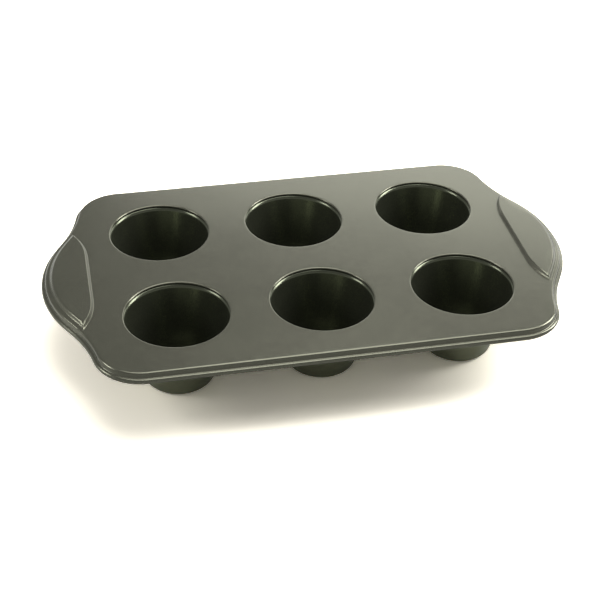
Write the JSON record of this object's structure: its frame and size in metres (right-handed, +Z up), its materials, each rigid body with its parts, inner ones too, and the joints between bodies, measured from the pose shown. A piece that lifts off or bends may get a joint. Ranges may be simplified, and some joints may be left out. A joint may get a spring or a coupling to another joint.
{
  "type": "popover pan",
  "caption": "Steel popover pan: a flat pressed deck with a wired rim and two raised handle pads carries deep tapered cups seamed into its holes.",
  "frame": {"origin": "middle of the plane that the six cup bases stand on, under the centre of the deck", "axes": "+X along the pan from ear to ear, +Y across it towards the back row, +Z up out of the cups' mouths"},
  "size_m": [0.406, 0.2418, 0.0595],
  "materials": {
    "deck_coating": "semi-gloss dark grey non-stick coating on pressed steel",
    "cup_coating": "semi-gloss charcoal non-stick coating on drawn steel",
    "wire_steel": "drawn mild steel wire, enclosed in the rim"
  },
  "bodies": {
    "root": {"deck": "deck_coating", "rim_wire": "wire_steel", "cup_back_left": "cup_coating", "cup_back_middle": "cup_coating", "cup_back_right": "cup_coating", "cup_front_left": "cup_coating", "cup_front_middle": "cup_coating", "cup_front_right": "cup_coating"}
  },
  "joints": []
}
